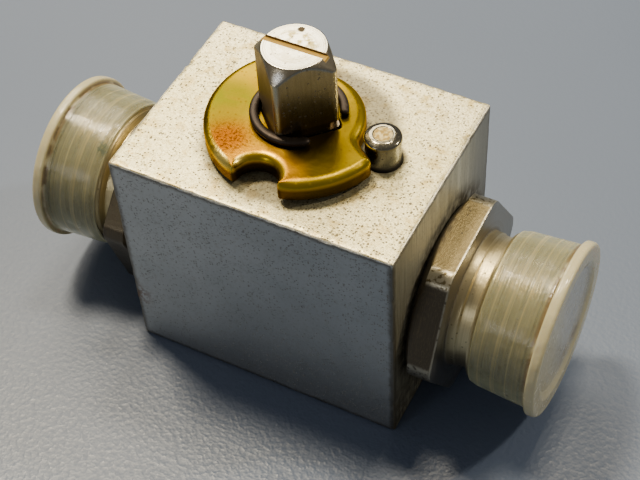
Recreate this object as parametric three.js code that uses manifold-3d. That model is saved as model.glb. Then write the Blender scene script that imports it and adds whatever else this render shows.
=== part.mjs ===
// Two-way block ball valve with its stop disc and dust caps, handle taken off.
// Millimetres. Origin at the centre of the block's underside, +X along the ports, +Z up the stem.
// The valve is modelled open: the ball's bore and the slot in the stem's top lie along X.
import * as THREE from "three";
import { mergeVertices } from "three/addons/utils/BufferGeometryUtils.js";
import Module from "manifold-3d";

const wasm = await Module();
wasm.setup();

// ---------------------------------------------------------------- driving dimensions
const GAP = 0.3; // clearance between neighbouring pieces
const SEGMENTS = 32; // facets round a turned piece
const SMALL_SEGMENTS = 24; // facets round a seal ring or the stop pin
const SEAL_SIDES = 6; // facets round a seal ring's section
const SEAT_FACE_FACETS = 3; // facets along the seat's face, from front to bore
const FACET = 360 / SEGMENTS; // degrees
const MERGE_DISTANCE = 1e-4; // corners closer than this are one corner

const BLOCK = { length: 43, width: 32, height: 38.5, chamfer: 0.4 };
const PORT_HEIGHT = 16.3; // port axis above the underside
const NOMINAL_BORE = 5; // radius of the flow passage

const BALL = { radius: 10, slotWidth: 3.8, slotFloor: 7 };
const CAVITY_RADIUS = 11; // ball chamber
const THREAD_HOLE = { radius: 11.5, start: 11.3 }; // threaded hole for a connector

const SEAT = { front: 7.7, back: 11.2, radius: 10.7, notchRadius: 9.1, notchStart: 9.6, faceGap: 0.15 };
const SEAT_RING = { middle: 9.95, section: 0.7, x: 10.45 };

const CONNECTOR = {
  innerEnd: 11.5,
  shankRadius: 11.2,
  grooveStart: 18.6,
  grooveEnd: 20.2,
  grooveRadius: 9.8,
  neckRadius: 9.85,
  collarRadius: 10.1,
  collarEnd: 27.8,
  mouth: 38.7,
};
const CONNECTOR_RING = { middle: 10.65, section: 0.62, x: 19.4 };
const HEX = {
  acrossFlats: 27,
  turnedRadius: 15.06,
  faceRadius: 12.9,
  start: 21.8,
  end: 26.5,
  chamferAngle: 30,
};
const HEX_TURN = { right: 3.5, left: 14 }; // degrees that each hexagon stopped turned from level
const THREAD = { start: 29.2, pitch: 1.5, turns: 6, crestRadius: 10.9, rootRadius: 10.05, crestWidth: 0.25 };
const TUBE_SOCKET = { radius: 7.6, mouthRadius: 8.5, depth: 7, coneHalfAngle: 12 };

const CAP = {
  rim: 30.5,
  innerRadius: 11.05,
  rimRadius: 11.65,
  rootRadius: 12.2, // where the tapered wall meets the flange
  roof: 39,
  dishFace: 40.3,
  dishRadius: 10.2,
  end: 40.85,
  flangeStart: 39.3,
  flangeRadius: 13,
  edgeRound: 0.4,
};

const STEM = {
  tangBottom: 23.6,
  tangWidth: 3.2,
  tangRadius: 4.4,
  collarBottom: 27.1,
  collarTop: 28.7,
  collarRadius: 7.3,
  radius: 6,
  shoulder: 39.1,
  acrossFlats: 9,
  chamferStart: 52.45,
  top: 54.4,
  topRadius: 4.4,
  slotWidth: 1.1,
  slotDepth: 0.9,
};
const STEM_BORE = { radius: 6.3, counterRadius: 7.6, counterTop: 29.6 };
const STEM_SEAL = { grooveRadius: 4.6, middle: 5.4, section: 0.68 };
const LOWER_SEAL = { grooveBottom: 30.6, grooveTop: 32.4 };
const UPPER_SEAL = { grooveBottom: 33.6, grooveTop: 36.4, backupBottom: 35.4, backupTop: 36.1 };
const THRUST_WASHER = { bottom: 28.8, top: 29.4, innerRadius: 6.2, outerRadius: 7.3 };

const DISC = {
  bottom: 39.3,
  thickness: 3,
  radius: 13.2,
  freeRadius: 9.1, // radius over the quarter in which the stop pin travels
  rolledEdge: 0.5,
  squareGap: 0.15,
};
const SHOULDER = { innerAngle: 8.1, innerRadius: 9.7, outerAngle: 15.6 }; // stop face, degrees ahead of +X
const QUARTER_TURN = 90;
const PIN = {
  radius: 2.6,
  distance: 12.36,
  angle: 2,
  bottom: 31.8,
  wallTop: 42.55,
  top: 43.15,
  topRadius: 1.45,
};
const NOTCH = { angle: -90.5, distance: 12.36, radius: 3.2 };

const RING_GROOVE = { bottom: 42.4, top: 43.6, radius: 5.3 };
const RETAINING_RING = {
  innerRadius: 5.5,
  outerRadius: 6.8,
  bottom: 42.5,
  top: 43.5,
  openFrom: -48,
  openTo: 16,
};

// ---------------------------------------------------------------- materials
function finish(color, roughness, metalness) {
  return new THREE.MeshStandardMaterial({ color, roughness, metalness });
}
const MATERIALS = {
  zincPlated: finish(0xb9b4a6, 0.45, 0.9),
  stemSteel: finish(0xc9c3b8, 0.3, 1),
  goldChromate: finish(0xb8922e, 0.35, 1),
  springSteel: finish(0x3a322b, 0.4, 0.8),
  chromedSteel: finish(0xd8dadc, 0.12, 1),
  seatPlastic: finish(0xe8e4d6, 0.5, 0),
  rubber: finish(0x1b1b1c, 0.8, 0),
  capPlastic: finish(0xd8cf9c, 0.4, 0),
};

// ---------------------------------------------------------------- helpers
const radians = THREE.MathUtils.degToRad;
function polar(radius, degrees) {
  return [radius * Math.cos(radians(degrees)), radius * Math.sin(radians(degrees))];
}

// A closed three.js geometry as a solid: shared vertices merged, empty triangles dropped.
function solid(geometry) {
  const bare = new THREE.BufferGeometry();
  bare.setAttribute("position", geometry.getAttribute("position").clone());
  if (geometry.index) bare.setIndex(geometry.index.clone());
  const merged = mergeVertices(bare, MERGE_DISTANCE);
  const corners = merged.index.array;
  const triangles = [];
  for (let i = 0; i < corners.length; i += 3) {
    const [a, b, c] = corners.slice(i, i + 3);
    if (a !== b && b !== c && c !== a) triangles.push(a, b, c);
  }
  const vertProperties = merged.getAttribute("position").array;
  const triVerts = new Uint32Array(triangles);
  return new wasm.Manifold(new wasm.Mesh({ numProp: 3, vertProperties, triVerts }));
}

// A solid back as a geometry for a mesh.
function geometryOf(body) {
  const { numProp, vertProperties, triVerts } = body.getMesh();
  const positions = new Float32Array((vertProperties.length / numProp) * 3);
  for (let i = 0; i < positions.length / 3; i += 1) {
    positions.set(vertProperties.subarray(i * numProp, i * numProp + 3), i * 3);
  }
  const geometry = new THREE.BufferGeometry();
  geometry.setAttribute("position", new THREE.BufferAttribute(positions, 3));
  geometry.setIndex(new THREE.BufferAttribute(new Uint32Array(triVerts), 1));
  geometry.computeVertexNormals();
  return geometry;
}

// Revolves [radius, height] points, listed anticlockwise with the radius to the right.
// The outline is closed unless it starts and ends on the axis.
function turned(points, segments = SEGMENTS) {
  const first = points[0];
  const last = points[points.length - 1];
  const onAxis = first[0] === 0 && last[0] === 0;
  const outline = onAxis ? points : [...points, first];
  const corners = outline.map(([radius, height]) => new THREE.Vector2(radius, height));
  return new THREE.LatheGeometry(corners, segments);
}
const aboutZ = (points, segments) => turned(points, segments).rotateX(Math.PI / 2);
const aboutX = (points, segments) => turned(points, segments).rotateZ(-Math.PI / 2);

// A plain rod and a flat ring between two stations, as [radius, height] points.
const rod = (radius, from, to) => [[0, from], [radius, from], [radius, to], [0, to]];
const flatRing = (inner, outer, from, to) => [[inner, from], [outer, from], [outer, to], [inner, to]];
const box = (x, y, z) => new THREE.BoxGeometry(x, y, z);

// A ring of round section, lying about Z until it is turned.
function sealRing(middle, section, height) {
  const points = [];
  for (let i = 0; i < SEAL_SIDES; i += 1) {
    const [across, along] = polar(section, (i * 360) / SEAL_SIDES);
    points.push([middle + across, height + along]);
  }
  return points;
}

function named(name, geometry, material) {
  const mesh = new THREE.Mesh(geometry, material);
  mesh.name = name;
  return mesh;
}

// ---------------------------------------------------------------- block
function blockBlank() {
  const { length, width, height, chamfer } = BLOCK;
  const x = length / 2;
  const y = width / 2;
  const outline = new THREE.Shape();
  outline.moveTo(x - chamfer, -y);
  outline.lineTo(x, -y + chamfer);
  outline.lineTo(x, y - chamfer);
  outline.lineTo(x - chamfer, y);
  outline.lineTo(-x + chamfer, y);
  outline.lineTo(-x, y - chamfer);
  outline.lineTo(-x, -y + chamfer);
  outline.lineTo(-x + chamfer, -y);
  outline.closePath();
  const blank = new THREE.ExtrudeGeometry(outline, {
    depth: height - 2 * chamfer,
    bevelThickness: chamfer,
    bevelSize: chamfer,
    bevelOffset: -chamfer,
    bevelSegments: 1,
  });
  return blank.translate(0, 0, chamfer);
}

function bodyBlock() {
  const over = 1; // how far a cutter runs past the face it opens
  const end = BLOCK.length / 2 + over;
  const { radius, start } = THREAD_HOLE;
  const passage = aboutX([
    [0, -end],
    [radius, -end],
    [radius, -start],
    [CAVITY_RADIUS, -start],
    [CAVITY_RADIUS, start],
    [radius, start],
    [radius, end],
    [0, end],
  ]).translate(0, 0, PORT_HEIGHT);
  const stemHole = aboutZ([
    [0, PORT_HEIGHT],
    [STEM_BORE.counterRadius, PORT_HEIGHT],
    [STEM_BORE.counterRadius, STEM_BORE.counterTop],
    [STEM_BORE.radius, STEM_BORE.counterTop],
    [STEM_BORE.radius, BLOCK.height + over],
    [0, BLOCK.height + over],
  ]);
  const pinHole = aboutZ(rod(PIN.radius + GAP, PIN.bottom - GAP, BLOCK.height + over));
  pinHole.translate(...polar(PIN.distance, PIN.angle), 0);
  const bored = solid(blockBlank()).subtract(solid(passage)).subtract(solid(stemHole));
  return geometryOf(bored.subtract(solid(pinHole)));
}

// ---------------------------------------------------------------- ball and seats
function ball() {
  const sphere = new THREE.SphereGeometry(BALL.radius, SEGMENTS, SEGMENTS / 2);
  const bore = aboutX(rod(NOMINAL_BORE, -2 * BALL.radius, 2 * BALL.radius));
  const slot = box(BALL.slotWidth, 3 * BALL.radius, BALL.radius);
  slot.translate(0, 0, BALL.slotFloor + BALL.radius / 2);
  return geometryOf(solid(sphere).subtract(solid(bore)).subtract(solid(slot)));
}

function ballSeat() {
  const faceRadius = BALL.radius + SEAT.faceGap;
  const inner = NOMINAL_BORE + SEAT.faceGap;
  const faceAt = (x) => Math.sqrt(faceRadius ** 2 - x ** 2);
  const innerX = faceAt(inner); // where the ball face meets the seat's own bore
  const face = [];
  for (let i = 0; i <= SEAT_FACE_FACETS; i += 1) {
    const x = SEAT.front + ((innerX - SEAT.front) * i) / SEAT_FACE_FACETS;
    face.push([faceAt(x), x]);
  }
  return geometryOf(solid(aboutX([
    ...face.reverse(),
    [SEAT.radius, SEAT.front],
    [SEAT.radius, SEAT.notchStart],
    [SEAT.notchRadius, SEAT.notchStart],
    [SEAT.notchRadius, SEAT.back],
    [inner, SEAT.back],
  ])));
}

// ---------------------------------------------------------------- end connector
function threadRidges() {
  const ridges = [];
  const flank = (THREAD.pitch - THREAD.crestWidth) / 2;
  for (let turn = 0; turn < THREAD.turns; turn += 1) {
    const root = THREAD.start + turn * THREAD.pitch;
    ridges.push([THREAD.rootRadius, root]);
    ridges.push([THREAD.crestRadius, root + flank]);
    ridges.push([THREAD.crestRadius, root + flank + THREAD.crestWidth]);
  }
  ridges.push([THREAD.rootRadius, THREAD.start + THREAD.turns * THREAD.pitch]);
  return ridges;
}

function hexagon() {
  const corner = HEX.acrossFlats / Math.sqrt(3);
  const outline = new THREE.Shape();
  for (let i = 0; i < 6; i += 1) {
    const [x, y] = polar(corner, 60 * i);
    if (i === 0) outline.moveTo(x, y);
    else outline.lineTo(x, y);
  }
  outline.closePath();
  const prism = new THREE.ExtrudeGeometry(outline, { depth: HEX.end - HEX.start, bevelEnabled: false });
  prism.rotateZ(Math.PI / 2).rotateY(Math.PI / 2).translate(HEX.start, 0, 0);
  const chamferLength = (HEX.turnedRadius - HEX.faceRadius) * Math.tan(radians(HEX.chamferAngle));
  const turnedForm = aboutX([
    [0, HEX.start],
    [HEX.faceRadius, HEX.start],
    [HEX.turnedRadius, HEX.start + chamferLength],
    [HEX.turnedRadius, HEX.end],
    [0, HEX.end],
  ]);
  return solid(prism).intersect(solid(turnedForm));
}

function endConnector(hexTurn) {
  const c = CONNECTOR;
  const lead = THREAD.crestRadius - THREAD.rootRadius;
  const socket = TUBE_SOCKET;
  const coneLength = (socket.mouthRadius - socket.radius) / Math.tan(radians(socket.coneHalfAngle));
  const spigot = aboutX([
    [NOMINAL_BORE, c.innerEnd],
    [c.shankRadius, c.innerEnd],
    [c.shankRadius, c.grooveStart],
    [c.grooveRadius, c.grooveStart],
    [c.grooveRadius, c.grooveEnd],
    [c.shankRadius, c.grooveEnd],
    [c.shankRadius, HEX.start + GAP],
    [c.collarRadius, HEX.start + GAP],
    [c.collarRadius, c.collarEnd],
    [c.neckRadius, c.collarEnd + GAP],
    [c.neckRadius, THREAD.start - lead],
    ...threadRidges(),
    [THREAD.crestRadius, c.mouth - lead],
    [THREAD.rootRadius, c.mouth],
    [socket.mouthRadius, c.mouth],
    [socket.radius, c.mouth - coneLength],
    [socket.radius, c.mouth - socket.depth],
    [NOMINAL_BORE, c.mouth - socket.depth],
  ]);
  const bore = aboutX(rod(c.collarRadius - GAP, HEX.start - GAP, HEX.end + GAP));
  const nut = hexagon().subtract(solid(bore));
  const placed = solid(geometryOf(nut).rotateX(radians(hexTurn)));
  return geometryOf(solid(spigot).add(placed));
}

// ---------------------------------------------------------------- dust cap
function dustCap() {
  const round = CAP.edgeRound;
  const middle = (CAP.flangeStart + CAP.end) / 2;
  return geometryOf(solid(aboutX([
    [0, CAP.roof],
    [CAP.innerRadius, CAP.roof],
    [CAP.innerRadius, CAP.rim + round],
    [CAP.innerRadius + round / 2, CAP.rim],
    [CAP.rimRadius - round, CAP.rim],
    [CAP.rimRadius, CAP.rim + round],
    [CAP.rootRadius, CAP.flangeStart],
    [CAP.flangeRadius - round, CAP.flangeStart],
    [CAP.flangeRadius, middle],
    [CAP.flangeRadius - round, CAP.end],
    [CAP.dishRadius + round, CAP.end],
    [CAP.dishRadius, CAP.dishFace],
    [0, CAP.dishFace],
  ])));
}

// ---------------------------------------------------------------- stem
function stem() {
  const s = STEM;
  const bar = aboutZ([
    [0, s.tangBottom],
    [s.tangRadius, s.tangBottom],
    [s.tangRadius, s.collarBottom],
    [s.collarRadius, s.collarBottom],
    [s.collarRadius, s.collarTop],
    [s.radius, s.collarTop],
    [s.radius, LOWER_SEAL.grooveBottom],
    [STEM_SEAL.grooveRadius, LOWER_SEAL.grooveBottom],
    [STEM_SEAL.grooveRadius, LOWER_SEAL.grooveTop],
    [s.radius, LOWER_SEAL.grooveTop],
    [s.radius, UPPER_SEAL.grooveBottom],
    [STEM_SEAL.grooveRadius, UPPER_SEAL.grooveBottom],
    [STEM_SEAL.grooveRadius, UPPER_SEAL.grooveTop],
    [s.radius, UPPER_SEAL.grooveTop],
    [s.radius, RING_GROOVE.bottom],
    [RING_GROOVE.radius, RING_GROOVE.bottom],
    [RING_GROOVE.radius, RING_GROOVE.top],
    [s.radius, RING_GROOVE.top],
    [s.radius, s.chamferStart],
    [s.topRadius, s.top],
    [0, s.top],
  ]);
  const wide = 4 * s.collarRadius; // cutters are wider than anything they trim
  let body = solid(bar);
  for (let side = 0; side < 4; side += 1) {
    const flat = box(wide, wide, wide);
    flat.translate(s.acrossFlats / 2 + wide / 2, 0, s.shoulder + wide / 2);
    flat.rotateZ(radians(45 + 90 * side));
    body = body.subtract(solid(flat));
  }
  for (const side of [-1, 1]) {
    const cheek = box(wide, wide, wide);
    cheek.translate(side * (s.tangWidth / 2 + wide / 2), 0, s.collarBottom - wide / 2);
    body = body.subtract(solid(cheek));
  }
  const slot = box(wide, s.slotWidth, 2 * s.slotDepth).translate(0, 0, s.top);
  return geometryOf(body.subtract(solid(slot)));
}

function thrustWasher() {
  const { innerRadius, outerRadius, bottom, top } = THRUST_WASHER;
  return aboutZ(flatRing(innerRadius, outerRadius, bottom, top));
}

function stemSeal(groove) {
  const roomTop = groove.backupBottom ?? groove.grooveTop;
  const height = (groove.grooveBottom + roomTop) / 2;
  return aboutZ(sealRing(STEM_SEAL.middle, STEM_SEAL.section, height), SMALL_SEGMENTS);
}

function backupRing() {
  const inner = STEM_SEAL.middle - STEM_SEAL.section;
  const outer = STEM_SEAL.middle + STEM_SEAL.section;
  return aboutZ(flatRing(inner, outer, UPPER_SEAL.backupBottom, UPPER_SEAL.backupTop), SMALL_SEGMENTS);
}

// ---------------------------------------------------------------- stop disc, ring and pin
// Points along an arc between two angles in degrees, without the last one.
function arc([x, y], radius, from, to, facet = FACET) {
  const points = [];
  const steps = Math.ceil(Math.abs(to - from) / facet);
  for (let i = 0; i < steps; i += 1) {
    const [across, along] = polar(radius, from + ((to - from) * i) / steps);
    points.push(new THREE.Vector2(x + across, y + along));
  }
  return points;
}

function discOutline() {
  const { radius, freeRadius } = DISC;
  const fine = FACET / 2;
  // The disc turns a quarter past the pin. The second stop face mirrors the first about the turn's middle.
  const mirror = (degrees) => 2 * PIN.angle + QUARTER_TURN - degrees;
  const firstOuter = -SHOULDER.outerAngle;
  const firstInner = -SHOULDER.innerAngle;
  const centre = [0, 0];
  const notchCentre = polar(NOTCH.distance, NOTCH.angle);
  const cosine = (radius ** 2 + NOTCH.distance ** 2 - NOTCH.radius ** 2) / (2 * radius * NOTCH.distance);
  const mouth = THREE.MathUtils.radToDeg(Math.acos(cosine)); // half the notch's opening, seen from the axis
  const [mouthX, mouthY] = polar(radius, mouth);
  const spread = THREE.MathUtils.radToDeg(Math.atan2(mouthY, mouthX - NOTCH.distance)); // its own half angle
  return new THREE.Shape([
    ...arc(centre, radius, mirror(firstOuter), NOTCH.angle - mouth + 360, fine),
    ...arc(notchCentre, NOTCH.radius, NOTCH.angle - spread, NOTCH.angle + spread - 360),
    ...arc(centre, radius, NOTCH.angle + mouth, firstOuter, fine),
    new THREE.Vector2(...polar(radius, firstOuter)),
    new THREE.Vector2(...polar(SHOULDER.innerRadius, firstInner)),
    ...arc(centre, freeRadius, firstInner / 2, mirror(firstInner / 2), fine),
    new THREE.Vector2(...polar(SHOULDER.innerRadius, mirror(firstInner))),
  ]);
}

function stopDisc() {
  const edge = DISC.rolledEdge;
  const plate = new THREE.ExtrudeGeometry(discOutline(), {
    depth: DISC.thickness,
    bevelThickness: edge,
    bevelSize: edge,
    bevelOffset: -edge,
    bevelSegments: 2,
  }).translate(0, 0, DISC.bottom - edge);
  const wide = 4 * DISC.radius;
  const belowFace = box(wide, wide, wide).translate(0, 0, DISC.bottom - wide / 2);
  const across = STEM.acrossFlats + 2 * DISC.squareGap;
  const square = box(across, across, wide).rotateZ(radians(45)).translate(0, 0, DISC.bottom);
  const round = aboutZ(rod(STEM.radius + GAP, 0, 2 * BLOCK.height));
  const hole = solid(square).intersect(solid(round));
  return geometryOf(solid(plate).subtract(solid(belowFace)).subtract(hole));
}

function retainingRing() {
  const { innerRadius, outerRadius, bottom, top, openFrom, openTo } = RETAINING_RING;
  const outline = new THREE.Shape([
    ...arc([0, 0], outerRadius, openTo, openFrom + 360),
    new THREE.Vector2(...polar(outerRadius, openFrom)),
    ...arc([0, 0], innerRadius, openFrom + 360, openTo),
    new THREE.Vector2(...polar(innerRadius, openTo)),
  ]);
  const edge = (top - bottom) / 4;
  const ring = new THREE.ExtrudeGeometry(outline, {
    depth: top - bottom - 2 * edge,
    bevelThickness: edge,
    bevelSize: edge,
    bevelOffset: -edge,
    bevelSegments: 1,
  });
  return geometryOf(solid(ring.translate(0, 0, bottom + edge)));
}

function stopPin() {
  const { radius, bottom, wallTop, top, topRadius } = PIN;
  const shoulder = (radius + topRadius) / 2 + GAP / 2; // half-way round the crowned end
  return aboutZ([
    [0, bottom],
    [radius - GAP, bottom],
    [radius, bottom + GAP],
    [radius, wallTop],
    [shoulder, (wallTop + top) / 2 + GAP / 4],
    [topRadius, top],
    [0, top],
  ], SMALL_SEGMENTS);
}

// ---------------------------------------------------------------- assembly
const valve = new THREE.Group();
valve.name = "block_ball_valve";
valve.add(named("body_block", bodyBlock(), MATERIALS.zincPlated));

const ballMesh = named("ball", ball(), MATERIALS.chromedSteel);
ballMesh.position.z = PORT_HEIGHT;
valve.add(ballMesh);

const stemGroup = new THREE.Group();
stemGroup.add(named("stem", stem(), MATERIALS.stemSteel));
stemGroup.add(named("stem_thrust_washer", thrustWasher(), MATERIALS.seatPlastic));
stemGroup.add(named("stem_o_ring_lower", stemSeal(LOWER_SEAL), MATERIALS.rubber));
stemGroup.add(named("stem_o_ring_upper", stemSeal(UPPER_SEAL), MATERIALS.rubber));
stemGroup.add(named("stem_backup_ring", backupRing(), MATERIALS.seatPlastic));
stemGroup.add(named("stop_disc", stopDisc(), MATERIALS.goldChromate));
stemGroup.add(named("retaining_ring", retainingRing(), MATERIALS.springSteel));
valve.add(stemGroup);

const pinMesh = named("stop_pin", stopPin(), MATERIALS.chromedSteel);
pinMesh.position.set(...polar(PIN.distance, PIN.angle), 0);
valve.add(pinMesh);

for (const side of ["right", "left"]) {
  const port = new THREE.Group();
  port.position.z = PORT_HEIGHT;
  port.rotation.z = side === "left" ? Math.PI : 0;
  const seatRing = sealRing(SEAT_RING.middle, SEAT_RING.section, SEAT_RING.x);
  const faceRing = sealRing(CONNECTOR_RING.middle, CONNECTOR_RING.section, CONNECTOR_RING.x);
  port.add(named(`ball_seat_${side}`, ballSeat(), MATERIALS.seatPlastic));
  port.add(named(`seat_o_ring_${side}`, aboutX(seatRing, SMALL_SEGMENTS), MATERIALS.rubber));
  port.add(named(`end_connector_${side}`, endConnector(HEX_TURN[side]), MATERIALS.zincPlated));
  port.add(named(`connector_o_ring_${side}`, aboutX(faceRing, SMALL_SEGMENTS), MATERIALS.rubber));
  port.add(named(`dust_cap_${side}`, dustCap(), MATERIALS.capPlastic));
  valve.add(port);
}

export default valve;
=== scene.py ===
"""Looks of a block ball valve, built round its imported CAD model.

The scene is in metres, with +X along the ports and +Z up the stem. Shapes are worked out in millimetres.
"""

import math
from collections import namedtuple

import bmesh
import bpy
from mathutils import Matrix, Vector, noise


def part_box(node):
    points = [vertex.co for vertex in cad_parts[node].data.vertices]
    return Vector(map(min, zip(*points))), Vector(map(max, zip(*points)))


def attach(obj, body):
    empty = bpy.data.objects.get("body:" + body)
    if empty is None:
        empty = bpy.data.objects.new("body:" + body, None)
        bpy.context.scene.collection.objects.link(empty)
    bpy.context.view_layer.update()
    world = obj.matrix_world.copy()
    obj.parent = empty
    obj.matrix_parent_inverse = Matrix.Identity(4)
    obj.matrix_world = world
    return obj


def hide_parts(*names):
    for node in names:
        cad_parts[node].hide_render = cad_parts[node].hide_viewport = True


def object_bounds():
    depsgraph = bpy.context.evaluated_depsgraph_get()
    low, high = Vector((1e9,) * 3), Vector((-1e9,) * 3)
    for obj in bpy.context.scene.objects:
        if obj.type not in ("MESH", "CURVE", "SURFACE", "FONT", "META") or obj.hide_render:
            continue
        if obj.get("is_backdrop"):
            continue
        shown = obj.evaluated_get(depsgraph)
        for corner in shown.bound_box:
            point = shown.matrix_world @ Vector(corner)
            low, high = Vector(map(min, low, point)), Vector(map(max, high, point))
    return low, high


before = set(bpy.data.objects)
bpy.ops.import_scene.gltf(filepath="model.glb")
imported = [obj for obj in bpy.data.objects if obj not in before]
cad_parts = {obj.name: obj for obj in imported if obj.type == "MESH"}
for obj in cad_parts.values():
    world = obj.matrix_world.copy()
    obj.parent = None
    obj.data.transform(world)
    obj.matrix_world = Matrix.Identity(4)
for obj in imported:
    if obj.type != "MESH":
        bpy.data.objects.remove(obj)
cad_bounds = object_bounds()

MM = 0.001


# ---------------------------------------------------------------- places taken from the frame, in mm
def low(node):
    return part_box(node)[0] / MM


def high(node):
    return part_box(node)[1] / MM


def middle(node):
    return (low(node) + high(node)) / 2


BLOCK_LOW, BLOCK_HIGH = low("body_block"), high("body_block")
PORT_Z = middle("dust_cap_right").z
PIN_PLACE = middle("stop_pin")
STEM_TOP = high("stem").z
DISC_BOTTOM, DISC_TOP = low("stop_disc").z, high("stop_disc").z
DISC_RADIUS = -low("stop_disc").x
RING_BOTTOM, RING_TOP = low("retaining_ring").z, high("retaining_ring").z
CAP_RIM, CAP_END = low("dust_cap_right").x, high("dust_cap_right").x
MOUTH = high("end_connector_right").x

# ---------------------------------------------------------------- other sizes, in mm and degrees
SEGMENTS = 120
EDGE = 0.12  # rounding of a machined edge
NOMINAL_BORE = 5
BLOCK_EDGE = 0.4  # rounding of the block's edges
BLOCK_PITCH = 0.5  # spacing of the points on the block
WEAR_DEPTH = 0.16
CAVITY_RADIUS = 11
THREAD_HOLE = {"radius": 11.5, "start": 11.3}
STEM_BORE = {"radius": 6.3, "counter_radius": 7.6, "counter_top": 29.6}
HEX = {"half_flats": 13.5, "turned": 15.06, "face": 12.9, "start": 21.8, "end": 26.5, "chamfer": 30}
HEX_TURN = {"right": 3.5, "left": 14}
CONNECTOR = {"inner_end": 11.5, "shank": 11.2, "groove": (18.6, 20.2), "groove_radius": 9.8}
NECK = {"radius": 9.85, "collar": 10.1, "collar_end": 27.8}
THREAD = {"start": 30.0, "pitch": 1.5, "crest": 10.9, "root": 10.0, "run_out": 1.2, "rows": 14}
SOCKET = {"radius": 7.6, "mouth": 8.5, "depth": 7, "cone": 12}
CAP = {"inner": 11.05, "rim": 11.65, "root": 12.2, "roof": 39, "flange": 39.3, "flange_radius": 13}
CAP_DISH = {"radius": 9.8, "face": 40.3}
STEM = {"radius": 6, "half_flats": 4.5, "shoulder": 39.1, "chamfer_start": 52.45, "top_radius": 4.4}
TANG = {"bottom": low("stem").z, "half_width": 1.6, "radius": 4.4}
STEM_COLLAR = {"bottom": 27.1, "top": 28.7, "radius": 7.3}
SEAL_GROOVES = ((30.6, 32.4), (33.6, 36.4))
SEAL_GROOVE_RADIUS = 4.6
RING_GROOVE = {"bottom": 42.4, "top": 43.6, "radius": 5.3}
SLOT = {"half_width": 0.55, "depth": 0.35}
SQUARE_TURN = 45
DISC_FREE_RADIUS = 9.1
SHOULDER = {"inner_angle": 8.1, "inner_radius": 9.7, "outer_angle": 15.6}
NOTCH = {"angle": -90.5, "distance": 12.36, "radius": 3.2}
PIN = {"angle": 2, "radius": 2.6, "neck": 2.48, "head": 42.2, "crown": 1.45}
RING = {"middle": 6.15, "half_width": 0.65, "open_from": -48, "open_to": 16}
BALL = {"radius": 10, "slot_width": 3.8, "slot_floor": 7}
SEAT = {"front": 7.7, "back": 11.2, "outer": 10.7, "step_radius": 9.1, "step_at": 9.6, "clearance": 0.15}
# O-rings are (radius of the section's centre, radius of the section, place along the axis).
PORT_SEALS = {"seat_o_ring": (9.95, 0.7, 10.45), "connector_o_ring": (10.65, 0.62, 19.4)}
STEM_SEALS = {"stem_o_ring_lower": (5.4, 0.68, 31.5), "stem_o_ring_upper": (5.4, 0.68, 34.5)}
# Washers are (inner radius, outer radius, bottom, top).
STEM_WASHERS = {"stem_thrust_washer": (6.2, 7.3, 28.8, 29.4), "stem_backup_ring": (4.72, 6.08, 35.4, 36.1)}
CAP_STAIN = {"right": 0.55, "left": 0.15}  # how strongly the brown stain shows


# ---------------------------------------------------------------- camera, lights and floor
CAMERA = {
    "target": Vector((3.3, -2.5, 20)) * MM,
    "azimuth": 30.2,
    "elevation": 49.7,
    "distance": 211 * MM,
    "roll": -4.0,
    "lens": 81.6,
}


def direction(azimuth, elevation):
    """Unit vector from the object towards a viewer at that azimuth and elevation, azimuth 0 being -Y."""
    a, e = math.radians(azimuth), math.radians(elevation)
    return Vector((math.sin(a) * math.cos(e), -math.cos(a) * math.cos(e), math.sin(e)))


def aim(obj, target, roll=0.0):
    towards = (obj.location - target).normalized()
    across = Vector((0, 0, 1)).cross(towards).normalized()
    upright = Matrix((across, towards.cross(across), towards)).transposed()
    obj.rotation_euler = (upright @ Matrix.Rotation(math.radians(roll), 3, "Z")).to_euler()


def add_to_scene(name, data):
    obj = bpy.data.objects.new(name, data)
    bpy.context.scene.collection.objects.link(obj)
    return obj


def make_camera():
    data = bpy.data.cameras.new("camera")
    data.lens = CAMERA["lens"]
    data.clip_start = MM
    camera = add_to_scene("camera", data)
    away = direction(CAMERA["azimuth"], CAMERA["elevation"])
    camera.location = CAMERA["target"] + away * CAMERA["distance"]
    aim(camera, CAMERA["target"], CAMERA["roll"])
    bpy.context.scene.camera = camera


def area_light(name, azimuth, elevation, distance, size, power, color):
    data = bpy.data.lights.new(name, "AREA")
    data.shape = "RECTANGLE"
    data.size, data.size_y = size
    data.energy = power
    data.color = color
    light = add_to_scene(name, data)
    light.location = direction(azimuth, elevation) * distance
    aim(light, Vector((0, 0, PORT_Z * MM)))


def make_lights():
    area_light("key", 244, 66, 0.80, (0.15, 0.11), 6.3, (1.0, 0.86, 0.62))
    area_light("back_key", 182, 69, 0.80, (0.12, 0.09), 2.4, (1.0, 0.86, 0.62))
    area_light("window", 218, 41, 0.80, (0.40, 0.32), 3.2, (1.0, 0.90, 0.70))
    area_light("lamp", 128, 44, 0.60, (0.045, 0.045), 1.2, (1.0, 0.90, 0.72))
    area_light("front_fill", -20, 23, 0.90, (0.22, 0.18), 0.5, (0.95, 0.97, 1.0))
    world = bpy.data.worlds.new("studio")
    bpy.context.scene.world = world
    world.use_nodes = True
    background = world.node_tree.nodes["Background"]
    background.inputs["Color"].default_value = (0.72, 0.70, 0.67, 1)
    background.inputs["Strength"].default_value = 0.22


def mesh_from(bm, name):
    mesh = bpy.data.meshes.new(name)
    bm.to_mesh(mesh)
    bm.free()
    return mesh


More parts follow.
